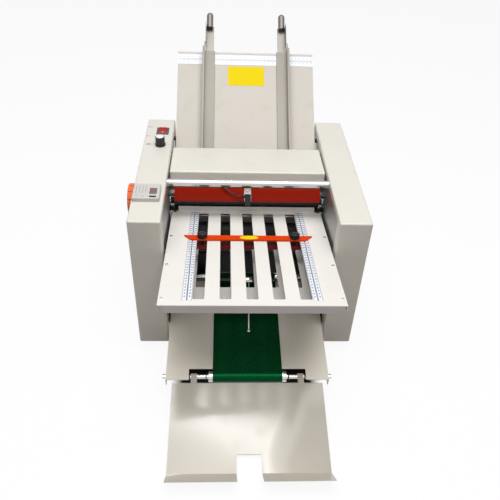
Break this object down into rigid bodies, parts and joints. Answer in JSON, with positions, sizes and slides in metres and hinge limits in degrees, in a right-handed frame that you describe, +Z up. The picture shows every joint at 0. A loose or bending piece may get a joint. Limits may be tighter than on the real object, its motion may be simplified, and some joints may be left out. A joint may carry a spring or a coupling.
{
  "type": "paper folding machine",
  "caption": "Desktop paper folder with a sloping feed table, rubber fold rollers, slotted fold plates with sliding stops, and a belt that delivers folded sheets to a tray.",
  "frame": {"origin": "under the middle of the whole machine's box, on the desk", "axes": "+Z up, +Y from the delivery tray to the feed table, +X to the right as seen from the tray"},
  "size_m": [0.5236, 1.0192, 0.5706],
  "materials": {
    "warm_grey_paint": "satin powder coat",
    "pale_plate_paint": "satin powder coat",
    "orange_paint": "gloss paint",
    "red_paint": "gloss paint",
    "plain_steel": "rolled sheet",
    "bright_steel": "turned",
    "chrome_plate": "polished",
    "bare_aluminium": "extruded",
    "black_rubber": "matte",
    "grey_rubber": "matte",
    "green_belt": "gloss",
    "black_plastic": "fine texture",
    "orange_plastic": "satin",
    "red_plastic": "gloss",
    "pale_plastic": "satin",
    "white_rule": "printed",
    "motor_paint": "satin"
  },
  "bodies": {
    "frame": {"left_side_frame": "plain_steel", "right_side_frame": "plain_steel", "left_casing": "warm_grey_paint", "right_casing": "warm_grey_paint", "rubber_feet": "black_rubber", "base_plate": "plain_steel", "rear_cover": "warm_grey_paint", "tie_rods": "bright_steel", "frame_bolts": "bright_steel", "roller_bearings": "bright_steel", "motor": "motor_paint", "drive_belts": "black_rubber", "fold_plate_sheet": "pale_plate_paint", "fold_plate_back_sheet": "plain_steel", "fold_plate_front_bar": "bare_aluminium", "plate_screws": "bright_steel", "rulers": "white_rule", "plate_latches": "black_plastic", "lower_slatted_sheet": "pale_plate_paint", "lower_fold_plate": "pale_plate_paint", "feed_table": "warm_grey_paint", "separator": "black_plastic", "chrome_bar": "chrome_plate", "red_guard": "red_paint", "sensor_bracket": "plain_steel", "sensor": "black_plastic", "sensor_cable": "black_rubber", "delivery_table": "warm_grey_paint", "delivery_belt": "green_belt", "switch_frame": "black_plastic", "counter_case": "pale_plastic", "power_inlet": "black_plastic"},
    "hood": {"hood": "warm_grey_paint"},
    "left_guide": {"left_guide_rail": "warm_grey_paint"},
    "left_extension": {"left_guide_extension": "chrome_plate"},
    "right_guide": {"right_guide_rail": "warm_grey_paint"},
    "right_extension": {"right_guide_extension": "chrome_plate"},
    "feed_wheel": {"feed_wheel": "grey_rubber"},
    "roller_1": {"fold_roller_1": "black_rubber", "roller_1_gear": "bright_steel", "hand_knob": "orange_plastic"},
    "roller_2": {"fold_roller_2": "grey_rubber", "roller_2_drive_wheels": "bare_aluminium"},
    "roller_3": {"fold_roller_3": "bright_steel", "roller_3_gear": "bright_steel"},
    "roller_4": {"fold_roller_4": "grey_rubber", "roller_4_drive_wheels": "bare_aluminium"},
    "motor_pulley": {"motor_pulley": "bare_aluminium"},
    "stop": {"stop_bar": "orange_paint"},
    "left_stop_knob": {"left_stop_knob": "black_plastic"},
    "right_stop_knob": {"right_stop_knob": "black_plastic"},
    "lower_stop": {"lower_stop": "orange_paint"},
    "lower_stop_knob": {"lower_stop_knob": "black_plastic"},
    "front_belt_roller": {"front_belt_roller": "bright_steel"},
    "rear_belt_roller": {"rear_belt_roller": "bright_steel"},
    "tray": {"receiving_tray": "warm_grey_paint"},
    "press_rod": {"press_rod": "chrome_plate"},
    "rocker": {"switch_rocker": "red_plastic"},
    "speed_knob": {"speed_knob": "black_plastic"},
    "counter_key": {"counter_key": "black_plastic"}
  },
  "joints": [
    {"name": "hood_hinge", "type": "hinge", "parent": "frame", "child": "hood", "pos_m": [0.01525, 0.16397, 0.346], "axis": [-1, 0, 0], "range_deg": [0, 75]},
    {"name": "left_guide_slide", "type": "slide", "parent": "frame", "child": "left_guide", "axis": [1, 0, 0], "range_m": [-0.049, 0.055]},
    {"name": "right_guide_slide", "type": "slide", "parent": "frame", "child": "right_guide", "axis": [1, 0, 0], "range_m": [-0.055, 0.049]},
    {"name": "left_extension_slide", "type": "slide", "parent": "left_guide", "child": "left_extension", "axis": [0, 0.7863, 0.6179], "range_m": [0, 0.09]},
    {"name": "right_extension_slide", "type": "slide", "parent": "right_guide", "child": "right_extension", "axis": [0, 0.7863, 0.6179], "range_m": [0, 0.09]},
    {"name": "roller_2_spin", "type": "hinge", "parent": "frame", "child": "roller_2", "pos_m": [0.01525, 0.07068, 0.23091], "axis": [1, 0, 0], "continuous": true},
    {"name": "roller_1_spin", "type": "hinge", "parent": "frame", "child": "roller_1", "pos_m": [0.01525, 0.07626, 0.26849], "axis": [1, 0, 0], "continuous": true},
    {"name": "roller_3_spin", "type": "hinge", "parent": "frame", "child": "roller_3", "pos_m": [0.01525, 0.05462, 0.19647], "axis": [1, 0, 0], "continuous": true},
    {"name": "roller_4_spin", "type": "hinge", "parent": "frame", "child": "roller_4", "pos_m": [0.01525, 0.07742, 0.16607], "axis": [1, 0, 0], "continuous": true},
    {"name": "feed_wheel_spin", "type": "hinge", "parent": "frame", "child": "feed_wheel", "pos_m": [0.01525, 0.15601, 0.25436], "axis": [1, 0, 0], "continuous": true},
    {"name": "motor_spin", "type": "hinge", "parent": "frame", "child": "motor_pulley", "pos_m": [0.01525, 0.15197, 0.078], "axis": [1, 0, 0], "continuous": true},
    {"name": "rear_belt_roller_spin", "type": "hinge", "parent": "frame", "child": "rear_belt_roller", "pos_m": [0.01525, 0.01678, 0.07702], "axis": [1, 0, 0], "continuous": true},
    {"name": "front_belt_roller_spin", "type": "hinge", "parent": "frame", "child": "front_belt_roller", "pos_m": [0.01525, -0.27116, 0.04606], "axis": [1, 0, 0], "continuous": true},
    {"name": "stop_slide", "type": "slide", "parent": "frame", "child": "stop", "axis": [0, 0.9891, -0.1469], "range_m": [-0.215, 0.105]},
    {"name": "left_stop_knob_turn", "type": "hinge", "parent": "stop", "child": "left_stop_knob", "pos_m": [-0.08475, -0.08304, 0.27649], "axis": [0, 0.1469, 0.9891], "range_deg": [-180, 180]},
    {"name": "right_stop_knob_turn", "type": "hinge", "parent": "stop", "child": "right_stop_knob", "pos_m": [0.11525, -0.08304, 0.27649], "axis": [0, 0.1469, 0.9891], "range_deg": [-180, 180]},
    {"name": "lower_stop_slide", "type": "slide", "parent": "frame", "child": "lower_stop", "axis": [0, 0.9063, -0.4226], "range_m": [-0.14, 0.12]},
    {"name": "lower_stop_knob_turn", "type": "hinge", "parent": "lower_stop", "child": "lower_stop_knob", "pos_m": [0.01525, 0.2421, 0.13001], "axis": [0, 0.4226, 0.9063], "range_deg": [-180, 180]},
    {"name": "tray_tilt", "type": "hinge", "parent": "frame", "child": "tray", "pos_m": [0.01525, -0.27116, 0.04606], "axis": [-1, 0, 0], "range_deg": [0, 22]},
    {"name": "press_rod_lift", "type": "hinge", "parent": "frame", "child": "press_rod", "pos_m": [0.02025, -0.07803, 0.1535], "axis": [-1, 0, 0], "range_deg": [0, 40]},
    {"name": "switch_rock", "type": "hinge", "parent": "frame", "child": "rocker", "pos_m": [-0.19015, 0.22847, 0.367], "axis": [1, 0, 0], "range_deg": [-14, 0]},
    {"name": "speed_knob_turn", "type": "hinge", "parent": "frame", "child": "speed_knob", "pos_m": [-0.19025, 0.15947, 0.368], "axis": [0, 0, -1], "range_deg": [0, 270]},
    {"name": "counter_key_press", "type": "slide", "parent": "frame", "child": "counter_key", "axis": [0, 0, -1], "range_m": [0, 0.001], "stiffness_N_per_m": 400}
  ],
  "couplings": [
    {"joint": "roller_1_spin", "follows": "roller_2_spin", "ratio": -1},
    {"joint": "roller_3_spin", "follows": "roller_2_spin", "ratio": -1},
    {"joint": "roller_4_spin", "follows": "roller_2_spin", "ratio": 1},
    {"joint": "feed_wheel_spin", "follows": "roller_2_spin", "ratio": 1},
    {"joint": "motor_spin", "follows": "roller_2_spin", "ratio": 2},
    {"joint": "rear_belt_roller_spin", "follows": "roller_2_spin", "ratio": 0.5},
    {"joint": "front_belt_roller_spin", "follows": "roller_2_spin", "ratio": 0.5}
  ]
}
